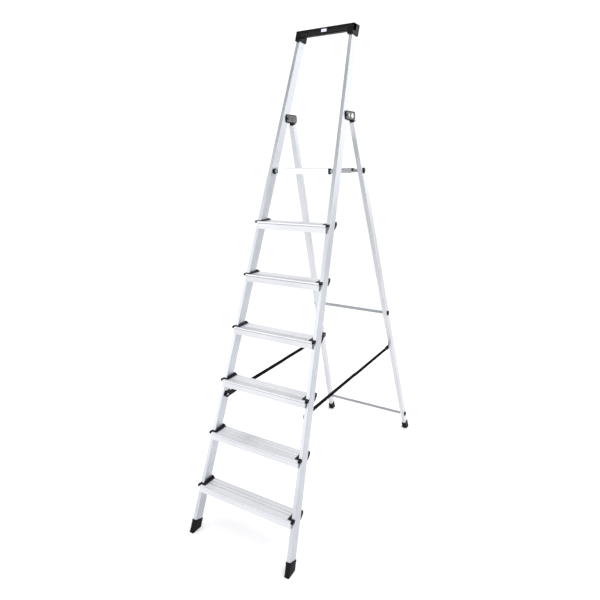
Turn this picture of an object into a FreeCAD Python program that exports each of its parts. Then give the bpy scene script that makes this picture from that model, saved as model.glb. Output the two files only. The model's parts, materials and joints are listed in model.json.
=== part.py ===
"""Free-standing aluminium step ladder: six flat steps, a folding platform and a hand rail above it.

Axes: X across, +Y away from the climber, +Z up.  The origin is on the floor, midway between the front of
the front feet and the back of the rear feet.  The front stiles lean away from the climber; the rear legs
hang from knuckles above the platform and lean the other way.  Lengths are in millimetres and angles in
degrees.
"""
import FreeCAD, Part
import math
import os
import Sketcher

STEP_COUNT = 6

# Where the drainage grooves start, as shares of the depth of a tread and of the platform.
TREAD_GROOVES = (0.22, 0.42, 0.62, 0.82)
DECK_GROOVES = (0.14, 0.28, 0.42, 0.56, 0.7, 0.84)

# Where a strap end's taper leaves its round eye, and how high it is there, as shares of the eye's radius.
EYE_ROOT = 0.4
EYE_RISE = 0.9
SIDES = (("left", -1), ("right", 1))

# Driving sizes: cell alias, value.  Each is set once here and read everywhere else.
SIZES = (
    # overall form
    ("step_pitch", 225),
    ("first_rise", 212),
    ("front_lean", 19.7),
    ("rear_lean", 19.7),
    ("side_tilt", 3.1),
    ("stile_base_half", 259.3),
    ("leg_outset", 7),
    ("hinge_rise", 216),
    ("rail_rise", 589),
    # tubes
    ("stile_width", 17.5),
    ("stile_depth", 45.5),
    ("stile_wall", 1.5),
    ("leg_width", 23),
    ("leg_depth", 32),
    ("leg_wall", 1.4),
    ("tube_corner", 2),
    ("rod_radius", 8),
    ("rod_wall", 1.2),
    ("fit_gap", 0.2),
    ("run_gap", 0.05),
    ("press_gap", 0.02),
    ("face_gap", 0.2),
    ("lean_gap", 0.1),
    ("past", 4),
    # steps
    ("tread_depth", 80),
    ("nose_overhang", 20.5),
    ("tread_skin", 2.4),
    ("lip_height", 32),
    ("lip_wall", 1.8),
    ("nose_band", 7),
    ("nose_step", 1.5),
    ("skirt_height", 20),
    ("groove_width", 2.2),
    ("groove_depth", 0.9),
    ("nose_reach", 7),
    ("port_radius", 4.5),
    ("port_bore", 2.6),
    ("port_first", 11),
    ("port_second", 31),
    ("port_grip", 3),
    ("port_roof", 0.4),
    ("port_end", 1),
    # step end caps
    ("cap_plate", 3),
    ("cap_lap", 9),
    ("cap_skin", 2.2),
    ("cap_rim", 4),
    ("cap_arm", 8.5),
    ("cap_block_drop", 7),
    ("cap_lug_reach", 4.5),
    ("cap_lug_rise", 6.5),
    ("cap_lug_drop", 24),
    ("cap_side_gap", 0.4),
    ("cap_arm_gap", 0.8),
    ("cap_arm_rise", 3),
    ("cap_block_gap", 3.4),
    ("cap_overhang", 0.5),
    ("cap_lug_gap", 1),
    ("cap_lug_foot", 5),
    # feet
    ("foot_wall", 2.6),
    ("front_foot_height", 60),
    ("rear_foot_height", 42),
    ("foot_sole", 5),
    ("foot_surplus", 30),
    ("floor_cut", 400),
    # hand rail
    ("rail_front", 8),
    ("rail_back", 1.5),
    ("rail_grip_height", 30),
    ("rail_grip_depth", 28),
    ("rail_socket", 42),
    ("rail_socket_fall", 6),
    ("rail_roof", 6),
    ("rail_wall", 3),
    ("rail_rivet_drop", 4),
    ("label_width", 26),
    ("label_height", 13),
    ("label_skin", 0.8),
    ("rivet_radius", 3.2),
    ("rivet_shank", 2),
    ("rivet_head", 1.2),
    ("rivet_tail", 2),
    # platform
    ("deck_play", 16.98),
    ("deck_rise", 13),
    ("deck_skin", 2.5),
    ("deck_drop", 12),
    ("deck_wall", 1.8),
    ("deck_nose", 12.5),
    ("deck_short", 4),
    ("rib_height", 22.5),
    ("bush_radius", 10),
    ("bush_flange", 12.5),
    ("bush_flange_width", 5),
    ("bush_length", 20),
    ("hook_back", 12.5),
    ("hook_front", 18),
    ("hook_play", 0.4),
    ("hook_flare", 50),
    ("flange_gap", 0.3),
    ("hook_tail", 9),
    ("hook_overhang", 1),
    ("collar_radius", 12),
    ("collar_width", 4),
    # knuckles and hinge
    ("hinge_depth", 31),
    ("leg_setback", 42.8),
    ("knuckle_height", 36),
    ("knuckle_front", 12),
    ("knuckle_back", 78),
    ("knuckle_corner", 11),
    ("cheek_gap", 1.7),
    ("cheek", 2.6),
    ("knuckle_notch_gap", 3.65),
    ("recess_rim", 3),
    ("recess_depth", 1.2),
    ("plug_length", 34),
    ("plug_rise", 14),
    ("plug_trim", 4),
    ("plug_back_trim", 9),
    ("knuckle_rivet_drop", 14),
    ("leg_top_gap", 0.6),
    ("pin_radius", 5),
    ("pin_head_radius", 7.5),
    ("pin_head", 1.6),
    ("spacer_radius", 8),
    ("rivet_lift", 0.05),
    ("rivet_reach", 6),
    # rear cross bars
    ("bar_upper_run", 851),
    ("bar_lower_run", 107),
    ("end_cap_radius", 13),
    ("end_cap_width", 4.5),
    ("end_cap_lift", 0.8),
    ("end_cap_plug", 8),
    # spreader straps
    ("strap_height", 587),
    ("strap_anchor_depth", 24),
    ("strap_width", 20),
    ("strap_skin", 1.5),
    ("strap_split", 0.5),
    ("strap_front_length", 480),
    ("strap_gap", 2.5),
    ("strap_end_radius", 14),
    ("strap_end_length", 52),
    ("strap_end_skin", 4.2),
    ("strap_end_border", 1.5),
    ("strap_boss_radius", 9),
    ("boss_gap", 0.3),
    ("anchor_head_radius", 4.2),
    ("anchor_tail", 1.5),
)


class Size:
    """A number worked out from the sheet, with the expression that keeps a property bound to it."""

    def __init__(self, value, text):
        self.value = float(value)
        self.text = text

    def __add__(self, other):
        other = size(other)
        return Size(self.value + other.value, f"({self.text} + {other.text})")

    def __sub__(self, other):
        other = size(other)
        return Size(self.value - other.value, f"({self.text} - {other.text})")

    def __mul__(self, other):
        other = size(other)
        return Size(self.value * other.value, f"({self.text} * {other.text})")

    def __truediv__(self, other):
        other = size(other)
        return Size(self.value / other.value, f"({self.text} / {other.text})")

    def __neg__(self):
        return Size(-self.value, f"(0 - {self.text})")

    __radd__ = __add__
    __rmul__ = __mul__

    def __rsub__(self, other):
        return size(other) - self


def size(number):
    if isinstance(number, Size):
        return number
    return Size(number, f"({float(number)!r})")


def sine(angle):
    return Size(math.sin(math.radians(angle.value)), f"sin({angle.text})")


def cosine(angle):
    return Size(math.cos(math.radians(angle.value)), f"cos({angle.text})")


def tangent(angle):
    return Size(math.tan(math.radians(angle.value)), f"tan({angle.text})")


class Sheet:
    """The driving sizes by name, each one a Size that reads its cell."""


doc = FreeCAD.newDocument("StepLadder")
sheet = doc.addObject("Spreadsheet::Sheet", "Sizes")
d = Sheet()
for row, (alias, number) in enumerate(SIZES, start=1):
    sheet.set(f"A{row}", alias)
    sheet.set(f"B{row}", str(number))
    sheet.setAlias(f"B{row}", alias)
    setattr(d, alias, Size(number, f"Sizes.{alias}"))
doc.recompute()

parts = {}


def keep(node, label):
    """Give a finished sub-part its name and remember it for export."""
    node.Label = label
    parts[label] = node
    return node


# ---------------------------------------------------------------- placing

X_AXIS = "1; 0; 0"
Y_AXIS = "0; 1; 0"


def turned(axis, angle):
    return f"create(<<rotation>>; create(<<vector>>; {axis}); {angle.text})"


def placement(point, turns):
    x, y, z = (size(v).text for v in point)
    rotation = " * ".join(turned(axis, angle) for axis, angle in turns) or turned(X_AXIS, size(0))
    return f"create(<<placement>>; create(<<vector>>; {x}; {y}; {z}); {rotation})"


def place(node, point, turns=(), corner=None):
    """Bind a placement: a point, then turns about local axes, then an offset along those axes."""
    text = placement(point, turns)
    if corner is not None:
        text = f"{text} * {placement(corner, ())}"
    node.setExpression("Placement", text)
    return node


class LeaningFrame:
    """One pair of stiles: depth is square to the pair and away from the climber, run goes up along it."""

    def __init__(self, foot_y, lean, backward, base_half):
        self.foot_y = foot_y
        self.sine = sine(lean) * backward
        self.cosine = cosine(lean)
        self.base_half = base_half
        self.turn = (X_AXIS, lean * -backward)

    def point(self, x, depth, run):
        y = self.foot_y + depth * self.cosine + run * self.sine
        z = run * self.cosine - depth * self.sine
        return x, y, z

    def run_at(self, depth, z):
        return (z + depth * self.sine) / self.cosine

    def run_of(self, y, z):
        return (y - self.foot_y) * self.sine + z * self.cosine

    def outer(self, run):
        """Half width across the outer faces of the pair at a run."""
        return self.base_half - run * tangent(d.side_tilt)

    def tilted(self, side):
        """Turns that line a piece's own Z up with one stile."""
        return (self.turn, (Y_AXIS, d.side_tilt * -side))


# ---------------------------------------------------------------- sketches and features

def new_body():
    return doc.addObject("PartDesign::Body", "Body")


def sketch_on(body, role, offset):
    sketch = body.newObject("Sketcher::SketchObject", "Sketch")
    plane = next(f for f in body.Origin.OriginFeatures if f.Role == role)
    sketch.AttachmentSupport = [(plane, "")]
    sketch.MapMode = "FlatFace"
    sketch.setExpression("AttachmentOffset.Base.z", offset.text)
    return sketch


def bind_point(sketch, geometry, position, point):
    for kind, coordinate in zip(("DistanceX", "DistanceY"), point):
        index = sketch.addConstraint(Sketcher.Constraint(kind, geometry, position, coordinate.value))
        sketch.setExpression(f"Constraints[{index}]", coordinate.text)


def outline(sketch, points):
    """A closed outline of straight lines, each corner bound to the sheet."""
    points = [(size(u), size(v)) for u, v in points]
    first = sketch.GeometryCount
    count = len(points)
    for start, end in zip(points, points[1:] + points[:1]):
        line = Part.LineSegment(FreeCAD.Vector(start[0].value, start[1].value, 0),
                                FreeCAD.Vector(end[0].value, end[1].value, 0))
        sketch.addGeometry(line, False)
    for index in range(count):
        following = first + (index + 1) % count
        sketch.addConstraint(Sketcher.Constraint("Coincident", first + index, 2, following, 1))
    for index, point in enumerate(points):
        bind_point(sketch, first + index, 1, point)


def circle(sketch, centre, radius):
    centre = [size(v) for v in centre]
    middle = FreeCAD.Vector(centre[0].value, centre[1].value, 0)
    index = sketch.addGeometry(Part.Circle(middle, FreeCAD.Vector(0, 0, 1), radius.value), False)
    bind_point(sketch, index, 3, centre)
    constraint = sketch.addConstraint(Sketcher.Constraint("Radius", index, radius.value))
    sketch.setExpression(f"Constraints[{constraint}]", radius.text)


def pad(body, sketch, length):
    feature = body.newObject("PartDesign::Pad", "Pad")
    feature.Profile = sketch
    feature.setExpression("Length", length.text)
    return feature


def pocket(body, sketch, length):
    """Cut towards +X or +Z, the way a pad of the same sketch would go."""
    feature = body.newObject("PartDesign::Pocket", "Pocket")
    feature.Profile = sketch
    feature.Reversed = True
    feature.setExpression("Length", length.text)
    return feature


def side_prism(body, low, high, points, feature=pad):
    """A side-view outline in Y and Z, carried across from X = low to X = high."""
    low, high = size(low), size(high)
    sketch = sketch_on(body, "YZ_Plane", low)
    outline(sketch, points)
    feature(body, sketch, high - low)


def side_disc(body, low, high, centre, radius, bore=None, feature=pad):
    """A round boss or hole along X."""
    low, high = size(low), size(high)
    sketch = sketch_on(body, "YZ_Plane", low)
    circle(sketch, centre, radius)
    if bore is not None:
        circle(sketch, centre, bore)
    feature(body, sketch, high - low)


def rectangle(y0, y1, z0, z1):
    return ((y0, z0), (y1, z0), (y1, z1), (y0, z1))


def span(side, near, far):
    """Low and high X of a stretch that runs outwards from near to far on one side."""
    return (near, far) if side > 0 else (-far, -near)


# ---------------------------------------------------------------- primitives and booleans

def box(lengths, point, turns=(), corner=None):
    node = doc.addObject("Part::Box", "Box")
    for name, length in zip(("Length", "Width", "Height"), lengths):
        node.setExpression(name, size(length).text)
    return place(node, point, turns, corner)


def cross_rod(low, high, y, z, radius):
    """A round bar along X between two X values."""
    node = doc.addObject("Part::Cylinder", "Rod")
    node.setExpression("Radius", size(radius).text)
    node.setExpression("Height", (size(high) - size(low)).text)
    return place(node, (low, y, z), ((Y_AXIS, size(90)),))


def side_rod(side, near, far, y, z, radius):
    low, high = span(side, near, far)
    return cross_rod(low, high, y, z, radius)


def fuse(pieces):
    if len(pieces) == 1:
        return pieces[0]
    node = doc.addObject("Part::MultiFuse", "Joined")
    node.Shapes = list(pieces)
    return node


def cut(base, tools):
    node = doc.addObject("Part::Cut", "Cut")
    node.Base = base
    node.Tool = fuse(tools)
    return node


def group(pieces):
    """Identical loose solids that share one node."""
    node = doc.addObject("Part::Compound", "Group")
    node.Links = list(pieces)
    return node


# ---------------------------------------------------------------- shared geometry

platform_top = d.first_rise + d.step_pitch * STEP_COUNT
hinge_z = platform_top + d.hinge_rise

# The rear leg's front plane meets the floor this far behind the stile's front plane.
hinge_behind_foot = hinge_z * tangent(d.front_lean) + d.hinge_depth / cosine(d.front_lean)
foot_spread = hinge_behind_foot + hinge_z * tangent(d.rear_lean) + d.leg_setback / cosine(d.rear_lean)
shoe_front = d.foot_wall / cosine(d.front_lean)
shoe_back = (d.leg_depth + d.foot_wall) / cosine(d.rear_lean)
front_foot_y = (shoe_front - foot_spread - shoe_back) / 2

front = LeaningFrame(front_foot_y, d.front_lean, 1, d.stile_base_half)
rear = LeaningFrame(front_foot_y + foot_spread, d.rear_lean, -1, d.stile_base_half + d.leg_outset)
stile_across = d.stile_width / cosine(d.side_tilt)
leg_across = d.leg_width / cosine(d.side_tilt)

hinge_run = front.run_at(d.hinge_depth, hinge_z)
_, hinge_y, _ = front.point(0, d.hinge_depth, hinge_run)

rail_top = platform_top + d.rail_rise
rail_top_run = front.run_at(-d.rail_front, rail_top)
rail_bottom_run = front.run_at(size(0), rail_top - d.rail_socket - d.rail_socket_fall)
rail_rivet_run = rail_bottom_run - d.rail_rivet_drop
stile_top_run = rail_top_run - d.rail_roof
stile_foot_run = (d.foot_sole + d.stile_depth * front.sine) / front.cosine
leg_foot_run = d.foot_sole / rear.cosine
leg_top_run = rear.run_of(hinge_y + d.knuckle_back, hinge_z - d.knuckle_height / 2) - d.leg_top_gap

rod_z = platform_top - d.deck_rise
front_rod_run = front.run_at(d.stile_depth / 2, rod_z)
_, front_rod_y, _ = front.point(0, d.stile_depth / 2, front_rod_run)
leg_middle = d.leg_depth / 2
rear_rod_run = rear.run_at(leg_middle, rod_z)
_, rear_rod_y, _ = rear.point(0, leg_middle, rear_rod_run)

port_drop = d.tread_skin + d.port_radius - d.port_roof


def stile_outer(y, z):
    return front.outer(front.run_of(y, z))


def stile_inner(y, z):
    return stile_outer(y, z) - stile_across


def leg_outer(y, z):
    return rear.outer(rear.run_of(y, z))


def leg_inner(y, z):
    return leg_outer(y, z) - leg_across


class Step:
    """Where one step sits: its tread top, the stile's front plane there, and its ends."""

    def __init__(self, number):
        self.name = f"step_{number}"
        self.z = d.first_rise + d.step_pitch * (number - 1)
        self.y = front.foot_y + self.z * tangent(d.front_lean)
        self.rear = d.tread_depth - d.nose_overhang
        tightest = stile_inner(self.y + d.stile_depth / front.cosine, self.z + d.cap_lug_rise)
        self.plate_outer = tightest - d.cap_side_gap
        self.tread_half = self.plate_outer - d.cap_plate - d.fit_gap
        self.nose_half = stile_inner(self.y, self.z) + d.nose_reach
        self.outer = stile_outer(self.y, self.z)
        self.ports = [(self.y + offset, self.z - port_drop) for offset in (d.port_first, d.port_second)]


steps = [Step(number) for number in range(1, STEP_COUNT + 1)]


# ---------------------------------------------------------------- front frame

def tube(width, depth, wall, length, point, turns, side):
    """A rectangular tube along its own Z, its outer face at X = 0 and its front face at Y = 0."""
    body = new_body()
    low, high = span(side, -width, size(0))
    sketch = sketch_on(body, "XY_Plane", size(0))
    outline(sketch, ((low, size(0)), (high, size(0)), (high, depth), (low, depth)))
    outline(sketch, ((low + wall, wall), (high - wall, wall),
                     (high - wall, depth - wall), (low + wall, depth - wall)))
    tall = pad(body, sketch, length)
    doc.recompute()
    corners = [(x, y) for x in (low.value, high.value) for y in (0.0, depth.value)]
    names = []
    for index, edge in enumerate(tall.Shape.Edges, start=1):
        ends = edge.BoundBox
        upright = ends.ZLength > length.value / 2
        at_corner = any(abs(ends.XMin - x) < 1e-3 and abs(ends.YMin - y) < 1e-3 for x, y in corners)
        if upright and at_corner:
            names.append(f"Edge{index}")
    rounding = body.newObject("PartDesign::Fillet", "Fillet")
    rounding.Base = (tall, names)
    rounding.setExpression("Radius", d.tube_corner.text)
    return place(body, point, turns)


def stile(side):
    length = (stile_top_run - stile_foot_run) / cosine(d.side_tilt)
    start = front.point(front.outer(stile_foot_run) * side, size(0), stile_foot_run)
    blank = tube(d.stile_width, d.stile_depth, d.stile_wall, length, start, front.tilted(side), side)
    tools = []
    for step in steps:
        for y, z in step.ports:
            inner = stile_inner(y, z)
            tools.append(side_rod(side, inner - d.past, inner + d.stile_wall + d.port_grip, y, z,
                                  d.port_radius + d.fit_gap / 2))
    inner = stile_inner(front_rod_y, rod_z)
    tools.append(side_rod(side, inner - d.past, inner + d.stile_width / 2, front_rod_y, rod_z,
                          d.rod_radius + d.fit_gap / 2))
    outer = stile_outer(hinge_y, hinge_z)
    tools.append(side_rod(side, outer - stile_across - d.past, outer + d.past, hinge_y, hinge_z,
                          d.pin_radius + d.run_gap))
    anchor_inner = stile_inner(strap_front_y, d.strap_height)
    tools.append(side_rod(side, anchor_inner - d.past, anchor_inner + d.stile_wall + d.port_grip,
                          strap_front_y, d.strap_height, d.rivet_shank + d.fit_gap / 2))
    tools.append(rail_rivet_shank(side, d.fit_gap / 2))
    return cut(blank, tools)


def tread_outline(step):
    """The step's extruded section: grooved top, stepped nose, deep front lip, rear skirt and two ribs."""
    nose = step.y - d.nose_overhang
    rear_edge = step.y + step.rear
    top = step.z
    under = top - d.tread_skin
    points = [(nose, top)]
    for share in TREAD_GROOVES:
        start = nose + d.tread_depth * share
        points += [(start, top), (start, top - d.groove_depth),
                   (start + d.groove_width, top - d.groove_depth), (start + d.groove_width, top)]
    points += [(rear_edge, top), (rear_edge, top - d.skirt_height),
               (rear_edge - d.lip_wall, top - d.skirt_height), (rear_edge - d.lip_wall, under)]
    lip = nose + d.nose_step
    points += [(lip + d.lip_wall, under), (lip + d.lip_wall, top - d.lip_height),
               (lip, top - d.lip_height), (lip, top - d.nose_band - d.nose_step), (nose, top - d.nose_band)]
    return points


def nose_outline(step):
    """Only what stands in front of the stiles."""
    nose = step.y - d.nose_overhang
    lip = nose + d.nose_step
    back = step.y - d.nose_step
    return [(nose, step.z), (back, step.z), (back, step.z - d.tread_skin),
            (lip + d.lip_wall, step.z - d.tread_skin), (lip + d.lip_wall, step.z - d.lip_height),
            (lip, step.z - d.lip_height), (lip, step.z - d.nose_band - d.nose_step),
            (nose, step.z - d.nose_band)]


def tread(step):
    body = new_body()
    side_prism(body, -step.tread_half, step.tread_half, tread_outline(step))
    side_prism(body, -step.nose_half, step.nose_half, nose_outline(step))
    for y, z in step.ports:
        reach = stile_inner(y, z) + d.stile_wall + d.port_end
        side_disc(body, -reach, reach, (y, z), d.port_radius, d.port_bore)
    return body


def step_cap(step, side):
    """Plastic end piece: plate beside the stile, lap over the tread, arm and block in front, lug behind."""
    body = new_body()
    top = step.z
    plate = (step.tread_half + d.fit_gap, step.plate_outer)
    lap_inner = step.tread_half - d.cap_lap
    rear_edge = step.y + step.rear
    lug_back = rear_edge + d.cap_lug_reach
    arm_back = step.y - d.cap_arm_gap
    side_prism(body, *span(side, *plate),
               rectangle(step.y + d.fit_gap, lug_back, top - d.cap_lug_drop, top + d.cap_rim))
    side_prism(body, *span(side, lap_inner, plate[1]),
               rectangle(step.y - d.cap_arm, rear_edge, top, top + d.cap_skin))
    side_prism(body, *span(side, lap_inner, step.outer + d.cap_overhang),
               rectangle(step.y - d.cap_arm, arm_back, top, top + d.cap_arm_rise))
    side_prism(body, *span(side, step.nose_half + d.fit_gap, step.outer + d.cap_overhang),
               rectangle(step.y - d.nose_overhang, step.y - d.cap_block_gap, top - d.cap_block_drop,
                         top + d.cap_arm_rise))
    slope = tangent(d.front_lean)
    behind = step.y + d.stile_depth / front.cosine + d.cap_lug_gap
    lug = ((behind + slope * d.cap_lug_rise, top + d.cap_lug_rise), (lug_back, top + d.cap_lug_rise),
           (lug_back, top - d.cap_lug_drop / 3),
           (behind + d.cap_lug_foot - slope * d.cap_lug_drop, top - d.cap_lug_drop),
           (behind - slope * d.cap_lug_drop, top - d.cap_lug_drop))
    side_prism(body, *span(side, step.tread_half + d.fit_gap, step.outer), lug)
    holes = [side_rod(side, plate[0] - d.past, plate[1] + d.past, y, z, d.port_radius + d.fit_gap / 2)
             for y, z in step.ports]
    return cut(body, holes)


def tube_block(frame, side, width, depth, run, low_end, high_end, grow):
    """A solid block round a tube's section, between two heights along it, grown by a gap or a wall."""
    low = span(side, -width - grow, size(grow))[0]
    start = frame.point(frame.outer(run) * side, size(0), run)
    return box((width + grow * 2, depth + grow * 2, size(high_end) - low_end), start, frame.tilted(side),
               (low, -size(grow), low_end))


def shoe(frame, side, width, depth, height, tube_start):
    """A push-on foot: a block round the tube's end, cut off at the floor."""
    outer = tube_block(frame, side, width, depth, size(0), -d.foot_surplus, height, d.foot_wall)
    inner = tube_block(frame, side, width, depth, size(0), tube_start, height + d.foot_surplus, d.fit_gap)
    half = d.floor_cut / 2
    floor = box((d.floor_cut, d.floor_cut, half), (frame.base_half * side - half, frame.foot_y - half, -half))
    return cut(outer, [inner, floor])


def rail_rivet_shank(side, gap):
    run = rail_rivet_run
    node = doc.addObject("Part::Cylinder", "Shank")
    node.setExpression("Radius", (d.rivet_shank + gap).text)
    node.setExpression("Height", (d.stile_wall + d.rivet_tail).text)
    x = (front.outer(run) - stile_across / 2) * side
    return place(node, front.point(x, size(0), run), (front.turn, (X_AXIS, size(-90))))


def rail_rivet(side):
    run = rail_rivet_run
    head = doc.addObject("Part::Cylinder", "Head")
    head.setExpression("Radius", d.rivet_radius.text)
    head.setExpression("Height", d.rivet_head.text)
    x = (front.outer(run) - stile_across / 2) * side
    place(head, front.point(x, -d.rivet_head, run), (front.turn, (X_AXIS, size(-90))))
    return fuse([head, rail_rivet_shank(side, size(0))])


def rail_face(depth, drop):
    """A point of the rail's side view: a depth off the stile's front plane, a drop below the rail's top."""
    z = rail_top - drop
    return front.foot_y + depth / front.cosine + z * tangent(d.front_lean), z


def hand_rail():
    """Grip bar with a level top and underside, and a deeper socket over each stile end."""
    body = new_body()
    outer = front.outer(rail_bottom_run) + d.rail_wall
    grip_top, _ = rail_face(-d.rail_front, size(0))
    grip_foot, grip_z = rail_face(-d.rail_front, d.rail_grip_height)
    grip = ((grip_top, rail_top), (grip_top + d.rail_grip_depth, rail_top),
            (grip_foot + d.rail_grip_depth, grip_z), (grip_foot, grip_z))
    side_prism(body, -outer, outer, grip)
    back = d.stile_depth + d.rail_back
    socket = (rail_face(-d.rail_front, size(0)), rail_face(back, size(0)),
              rail_face(back, d.rail_socket + d.rail_socket_fall), rail_face(-d.rail_front, d.rail_socket))
    socket_inner = front.outer(rail_top_run) - stile_across - d.rail_wall
    for _, side in SIDES:
        side_prism(body, *span(side, socket_inner, outer), socket)
    bores = [tube_block(front, side, d.stile_width, d.stile_depth, rail_bottom_run, -d.rail_socket,
                        stile_top_run - rail_bottom_run + d.fit_gap, d.fit_gap) for _, side in SIDES]
    return cut(body, bores)


def label_plate():
    """A plain blank plate on the front of the rail."""
    run = rail_top_run - (d.rail_grip_height + d.label_height) / 2
    corner = front.point(-d.label_width / 2, -d.rail_front - d.label_skin, run)
    return box((d.label_width, d.label_skin, d.label_height), corner, (front.turn,))


# ---------------------------------------------------------------- platform

rod_span = rear_rod_y - front_rod_y
collar_outer = stile_inner(front_rod_y, rod_z) - d.collar_radius * tangent(d.side_tilt) - d.lean_gap
collar_inner = collar_outer - d.collar_width
deck_half = collar_inner - d.bush_flange_width - d.deck_play
hook_inner = deck_half - d.bush_length
hook_outer = deck_half + d.hook_overhang


def deck():
    """Extruded platform: grooved top, front nose, rear end and ribs, open below and at its ends."""
    body = new_body()
    nose = front_rod_y - d.deck_nose
    tail = rear_rod_y - d.deck_short
    top = platform_top
    under = top - d.deck_skin
    points = [(nose, top)]
    length = rod_span - d.deck_short + d.deck_nose
    for share in DECK_GROOVES:
        start = nose + length * share
        points += [(start, top), (start, top - d.groove_depth),
                   (start + d.groove_width, top - d.groove_depth), (start + d.groove_width, top)]
    points += [(tail, top), (tail, under)]
    back_rib = rear_rod_y - d.hook_front - d.deck_wall - d.fit_gap
    front_rib = front_rod_y + d.bush_radius + d.fit_gap
    middle = (front_rib + back_rib) / 2
    for start in (back_rib, middle, front_rib):
        points += [(start + d.deck_wall, under), (start + d.deck_wall, top - d.rib_height - d.deck_skin),
                   (start, top - d.rib_height - d.deck_skin), (start, under)]
    foot = rod_z - d.deck_drop
    points += [(nose + d.deck_wall, under), (nose + d.deck_wall, foot), (nose, foot)]
    side_prism(body, -deck_half, deck_half, points)
    return body


def front_bush(side):
    """Plastic sleeve that turns on the front rod, with a flange outside the deck's end."""
    body = new_body()
    centre = (front_rod_y, rod_z)
    bore = d.rod_radius + d.run_gap
    shoulder = deck_half + d.flange_gap
    side_disc(body, *span(side, deck_half - d.bush_length, shoulder), centre, d.bush_radius, bore)
    side_disc(body, *span(side, shoulder, deck_half + d.bush_flange_width), centre, d.bush_flange, bore)
    return body


def rear_hook(side):
    """Plastic saddle that hooks over the rear rod from above: open below, its front wall cut well back."""
    body = new_body()
    ends = span(side, hook_inner, hook_outer)
    top = platform_top - d.deck_skin
    foot = rod_z - d.hook_tail
    block = ((rear_rod_y - d.hook_front, top), (rear_rod_y + d.hook_back, top),
             (rear_rod_y + d.hook_back, foot), (rear_rod_y - d.hook_front, foot + d.hook_tail))
    side_prism(body, *ends, block)
    saddle = d.rod_radius + d.hook_play
    below = foot - d.past
    flare = tangent(d.hook_flare) * (rod_z - below)
    mouth = ((rear_rod_y + saddle, rod_z), (rear_rod_y + saddle, below),
             (rear_rod_y - saddle - flare, below), (rear_rod_y - saddle, rod_z))
    through = (ends[0] - d.past, ends[1] + d.past)
    side_disc(body, *through, (rear_rod_y, rod_z), saddle, feature=pocket)
    side_prism(body, *through, mouth, pocket)
    return body


def rod(half_length, y, z):
    """A round tube across the ladder."""
    body = new_body()
    side_disc(body, -half_length, half_length, (y, z), d.rod_radius, d.rod_radius - d.rod_wall)
    return body


def front_rod():
    inner = stile_inner(front_rod_y, rod_z)
    return rod(inner + d.stile_width / 2 - d.port_end, front_rod_y, rod_z)


def front_collars():
    """Plastic rings on the front rod, against the stiles."""
    rings = []
    for _, side in SIDES:
        body = new_body()
        side_disc(body, *span(side, collar_inner, collar_outer), (front_rod_y, rod_z), d.collar_radius,
                  d.rod_radius + d.press_gap)
        rings.append(body)
    return group(rings)


# ---------------------------------------------------------------- rear frame

def rear_bar_places():
    """Depth and height of each cross bar's axis: lower, upper, and the platform's rear rod."""
    places = []
    for run in (d.bar_lower_run, d.bar_upper_run, rear_rod_run):
        _, y, z = rear.point(size(0), leg_middle, run)
        places.append((y, z))
    return places


bars = rear_bar_places()
strap_front_run = front.run_at(d.strap_anchor_depth, d.strap_height)
_, strap_front_y, _ = front.point(size(0), d.strap_anchor_depth, strap_front_run)
strap_rear_run = rear.run_at(leg_middle, d.strap_height)
_, strap_rear_y, _ = rear.point(size(0), leg_middle, strap_rear_run)
strap_outer = stile_inner(strap_front_y, d.strap_height + d.strap_end_radius) - d.strap_gap
strap_middle = strap_outer - d.strap_end_skin / 2
strap_fold_y = strap_front_y + d.strap_front_length

leg_plug_gap = d.leg_wall + d.fit_gap / 2
cheek_outer_face = stile_outer(hinge_y, hinge_z) + d.cheek_gap
cheek_inner_face = stile_inner(hinge_y, hinge_z) - d.cheek_gap
knuckle_outer = cheek_outer_face + d.cheek
knuckle_inner = cheek_inner_face - d.cheek
recess_floor = knuckle_outer - d.recess_depth
leg_rivet_run = leg_top_run - d.knuckle_rivet_drop


def rear_leg(side):
    length = (leg_top_run - leg_foot_run) / cosine(d.side_tilt)
    start = rear.point(rear.outer(leg_foot_run) * side, size(0), leg_foot_run)
    blank = tube(d.leg_width, d.leg_depth, d.leg_wall, length, start, rear.tilted(side), side)
    tools = []
    for y, z in bars:
        outer = leg_outer(y, z)
        tools.append(side_rod(side, outer - leg_across - d.past, outer + d.past, y, z,
                              d.rod_radius + d.press_gap))
    tools.append(leg_rivet_hole(side))
    inner = leg_inner(strap_rear_y, d.strap_height)
    tools.append(side_rod(side, inner - d.past, inner + d.leg_wall + d.port_grip, strap_rear_y,
                          d.strap_height, d.rivet_shank + d.fit_gap / 2))
    return cut(blank, tools)


def leg_rivet_hole(side):
    _, y, z = rear.point(size(0), leg_middle, leg_rivet_run)
    outer = leg_outer(y, z)
    return side_rod(side, outer - leg_across - d.rivet_reach, outer + d.rivet_reach, y, z,
                    d.rivet_shank + d.fit_gap / 2)


def leg_rivet(side):
    _, y, z = rear.point(size(0), leg_middle, leg_rivet_run)
    lift = d.rivet_radius * tangent(d.side_tilt) + d.rivet_lift
    outer = leg_outer(y, z) + lift
    inner = leg_inner(y, z) - lift
    shank = side_rod(side, inner - d.rivet_head, outer + d.rivet_head, y, z, d.rivet_shank)
    head = side_rod(side, outer, outer + d.rivet_head, y, z, d.rivet_radius)
    tail = side_rod(side, inner - d.rivet_head, inner, y, z, d.rivet_radius)
    return fuse([shank, head, tail])


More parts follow.
